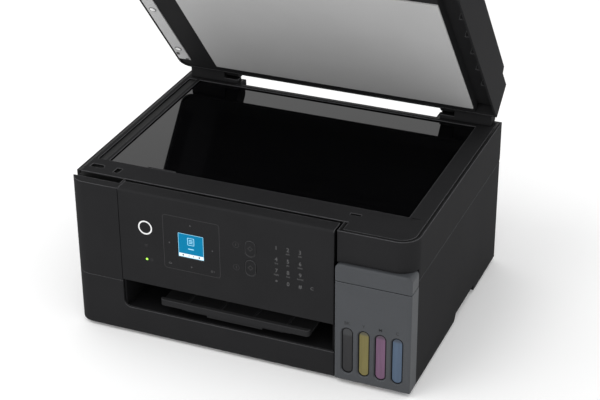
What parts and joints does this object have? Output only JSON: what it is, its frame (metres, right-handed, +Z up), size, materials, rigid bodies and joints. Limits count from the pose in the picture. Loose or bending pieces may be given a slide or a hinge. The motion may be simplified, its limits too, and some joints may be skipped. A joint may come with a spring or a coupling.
{
  "type": "inkjet printer",
  "caption": "Desktop inkjet printer with front ink tanks, output tray, tilting control panel, flatbed scanner and a raised lid with a document feeder.",
  "frame": {"origin": "on the table under the middle of the body", "axes": "+X to the printer's right seen from the front, +Y to the rear, +Z up"},
  "size_m": [0.375, 0.3467, 0.4216],
  "materials": {
    "black_plastic": "fine grain",
    "inner_plastic": "plain",
    "panel_plastic": "satin",
    "grey_plastic": "fine grain",
    "tray_plastic": "satin",
    "key_plastic": "satin",
    "display": "lit",
    "glass": "polished",
    "mat": "foam",
    "pale_plastic": "satin",
    "steel": "ground",
    "sheet_steel": "zinc plated",
    "rubber": "matte",
    "board": "satin",
    "ink_black": "translucent tank",
    "ink_yellow": "translucent tank",
    "ink_magenta": "translucent tank",
    "ink_cyan": "translucent tank"
  },
  "bodies": {
    "chassis": {"outer_housing": "black_plastic", "base_pan": "inner_plastic", "rubber_feet": "rubber", "left_front_cover": "black_plastic", "front_frame": "inner_plastic", "output_bay": "inner_plastic", "tank_cover": "grey_plastic", "ink_tank_black": "ink_black", "ink_tank_yellow": "ink_yellow", "ink_tank_magenta": "ink_magenta", "ink_tank_cyan": "ink_cyan", "mech_frame": "sheet_steel", "carriage_shaft": "steel", "platen": "inner_plastic", "carriage_belt": "rubber", "drive_motors": "steel", "cap_station": "inner_plastic", "main_board": "board", "interface_ports": "steel", "power_supply": "inner_plastic", "ac_inlet": "inner_plastic", "rear_feeder": "black_plastic"},
    "control_panel": {"control_panel": "panel_plastic", "lcd_module": "display"},
    "scanner": {"scanner_case": "black_plastic", "scanner_frame": "black_plastic", "scanner_glass": "glass", "tank_top_trim": "grey_plastic", "scan_rail": "steel", "hinge_posts": "black_plastic"},
    "lid": {"lid_shell": "black_plastic", "lid_underside": "black_plastic", "document_mat": "mat", "feeder_strip": "pale_plastic"},
    "power_button": {"power_button": "key_plastic"},
    "copy_key": {"copy_key": "key_plastic"},
    "stop_key": {"stop_key": "key_plastic"},
    "output_tray": {"output_tray": "tray_plastic"},
    "tray_extension": {"tray_extension": "tray_plastic"},
    "scan_bar": {"scan_bar": "inner_plastic"},
    "feeder_cover": {"feeder_cover": "black_plastic"},
    "input_tray": {"input_tray": "black_plastic"},
    "front_sheet_guide": {"front_sheet_guide": "key_plastic"},
    "rear_sheet_guide": {"rear_sheet_guide": "key_plastic"},
    "sheet_roller": {"sheet_roller": "rubber"},
    "carriage": {"carriage": "inner_plastic"},
    "motor_pulley": {"motor_pulley": "steel"},
    "idler_pulley": {"idler_pulley": "steel"},
    "feed_roller": {"feed_roller": "steel"},
    "exit_roller": {"exit_roller": "rubber"},
    "pinch_rollers": {"pinch_rollers": "inner_plastic"},
    "star_wheels": {"star_wheels": "steel"},
    "pick_roller": {"pick_roller": "rubber"},
    "feeder_guard": {"feeder_guard": "black_plastic"},
    "paper_support": {"paper_support": "black_plastic"},
    "rear_edge_guide": {"rear_edge_guide": "key_plastic"},
    "tank_cap_black": {"tank_cap_black": "key_plastic"},
    "tank_cap_yellow": {"tank_cap_yellow": "key_plastic"},
    "tank_cap_magenta": {"tank_cap_magenta": "key_plastic"},
    "tank_cap_cyan": {"tank_cap_cyan": "key_plastic"}
  },
  "joints": [
    {"name": "scanner_lift", "type": "hinge", "parent": "chassis", "child": "scanner", "pos_m": [0, 0.116, 0.13], "axis": [-1, 0, 0], "range_deg": [0, 40]},
    {"name": "lid_hinge", "type": "hinge", "parent": "scanner", "child": "lid", "pos_m": [0, 0.1165, 0.1876], "axis": [-1, 0, 0], "range_deg": [-50.6, 24.4]},
    {"name": "panel_tilt", "type": "hinge", "parent": "chassis", "child": "control_panel", "pos_m": [0, -0.16, 0.165], "axis": [-1, 0, 0], "range_deg": [0, 45]},
    {"name": "power_button_press", "type": "slide", "parent": "control_panel", "child": "power_button", "axis": [0, 1, 0], "range_m": [0, 0.0008], "stiffness_N_per_m": 600, "springref_m": -0.0008},
    {"name": "copy_key_press", "type": "slide", "parent": "control_panel", "child": "copy_key", "axis": [0, 1, 0], "range_m": [0, 0.0008], "stiffness_N_per_m": 600, "springref_m": -0.0008},
    {"name": "stop_key_press", "type": "slide", "parent": "control_panel", "child": "stop_key", "axis": [0, 1, 0], "range_m": [0, 0.0008], "stiffness_N_per_m": 600, "springref_m": -0.0008},
    {"name": "tray_slide", "type": "slide", "parent": "chassis", "child": "output_tray", "axis": [0, -1, 0], "range_m": [0, 0.09]},
    {"name": "extension_slide", "type": "slide", "parent": "output_tray", "child": "tray_extension", "axis": [0, -1, 0], "range_m": [0, 0.1]},
    {"name": "scan_travel", "type": "slide", "parent": "scanner", "child": "scan_bar", "axis": [1, 0, 0], "range_m": [0, 0.33]},
    {"name": "feeder_cover_hinge", "type": "hinge", "parent": "lid", "child": "feeder_cover", "pos_m": [-0.1755, 0.05105, 0.32731], "axis": [0, -0.6347, 0.7727], "range_deg": [0, 75]},
    {"name": "input_tray_hinge", "type": "hinge", "parent": "lid", "child": "input_tray", "pos_m": [-0.0495, 0.05105, 0.32731], "axis": [0, -0.6347, 0.7727], "range_deg": [0, 35]},
    {"name": "front_guide_slide", "type": "slide", "parent": "input_tray", "child": "front_sheet_guide", "axis": [0, 0.6347, -0.7727], "range_m": [0, 0.05]},
    {"name": "rear_guide_slide", "type": "slide", "parent": "input_tray", "child": "rear_sheet_guide", "axis": [0, -0.6347, 0.7727], "range_m": [0, 0.05]},
    {"name": "sheet_roller_spin", "type": "hinge", "parent": "lid", "child": "sheet_roller", "pos_m": [-0.1045, 0.0485, 0.32521], "axis": [0, 0.6347, -0.7727], "continuous": true},
    {"name": "carriage_travel", "type": "slide", "parent": "chassis", "child": "carriage", "axis": [-1, 0, 0], "range_m": [0, 0.235]},
    {"name": "motor_pulley_spin", "type": "hinge", "parent": "chassis", "child": "motor_pulley", "pos_m": [-0.137, 0.0152, 0.118], "axis": [0, 1, 0], "continuous": true},
    {"name": "idler_pulley_spin", "type": "hinge", "parent": "chassis", "child": "idler_pulley", "pos_m": [0.1485, 0.0152, 0.118], "axis": [0, 1, 0], "continuous": true},
    {"name": "feed_spin", "type": "hinge", "parent": "chassis", "child": "feed_roller", "pos_m": [0, -0.012, 0.0605], "axis": [1, 0, 0], "continuous": true},
    {"name": "exit_spin", "type": "hinge", "parent": "chassis", "child": "exit_roller", "pos_m": [0, -0.093, 0.0615], "axis": [1, 0, 0], "continuous": true},
    {"name": "pinch_spin", "type": "hinge", "parent": "chassis", "child": "pinch_rollers", "pos_m": [0, -0.012, 0.0708], "axis": [1, 0, 0], "continuous": true},
    {"name": "star_spin", "type": "hinge", "parent": "chassis", "child": "star_wheels", "pos_m": [0, -0.093, 0.0708], "axis": [1, 0, 0], "continuous": true},
    {"name": "pick_spin", "type": "hinge", "parent": "chassis", "child": "pick_roller", "pos_m": [0, 0.107, 0.08], "axis": [1, 0, 0], "continuous": true},
    {"name": "guard_hinge", "type": "hinge", "parent": "chassis", "child": "feeder_guard", "pos_m": [0, 0.15054, 0.1413], "axis": [-1, 0, 0], "range_deg": [-100, 0]},
    {"name": "support_slide", "type": "slide", "parent": "chassis", "child": "paper_support", "axis": [0, -0.5, -0.866], "range_m": [-0.06, 0]},
    {"name": "edge_guide_slide", "type": "slide", "parent": "chassis", "child": "rear_edge_guide", "axis": [-1, 0, 0], "range_m": [0, 0.06]},
    {"name": "cap_black_hinge", "type": "hinge", "parent": "chassis", "child": "tank_cap_black", "pos_m": [0.1212, -0.1435, 0.1152], "axis": [-1, 0, 0], "range_deg": [0, 100]},
    {"name": "cap_yellow_hinge", "type": "hinge", "parent": "chassis", "child": "tank_cap_yellow", "pos_m": [0.1387, -0.1435, 0.1152], "axis": [-1, 0, 0], "range_deg": [0, 100]},
    {"name": "cap_magenta_hinge", "type": "hinge", "parent": "chassis", "child": "tank_cap_magenta", "pos_m": [0.1562, -0.1435, 0.1152], "axis": [-1, 0, 0], "range_deg": [0, 100]},
    {"name": "cap_cyan_hinge", "type": "hinge", "parent": "chassis", "child": "tank_cap_cyan", "pos_m": [0.1737, -0.1435, 0.1152], "axis": [-1, 0, 0], "range_deg": [0, 100]}
  ],
  "couplings": [
    {"joint": "rear_guide_slide", "follows": "front_guide_slide", "ratio": 1},
    {"joint": "motor_pulley_spin", "follows": "carriage_travel", "rad_per_m": 200},
    {"joint": "idler_pulley_spin", "follows": "carriage_travel", "rad_per_m": 200},
    {"joint": "exit_spin", "follows": "feed_spin", "ratio": 1.2},
    {"joint": "pinch_spin", "follows": "feed_spin", "ratio": -1.5},
    {"joint": "star_spin", "follows": "feed_spin", "ratio": -1.5}
  ]
}
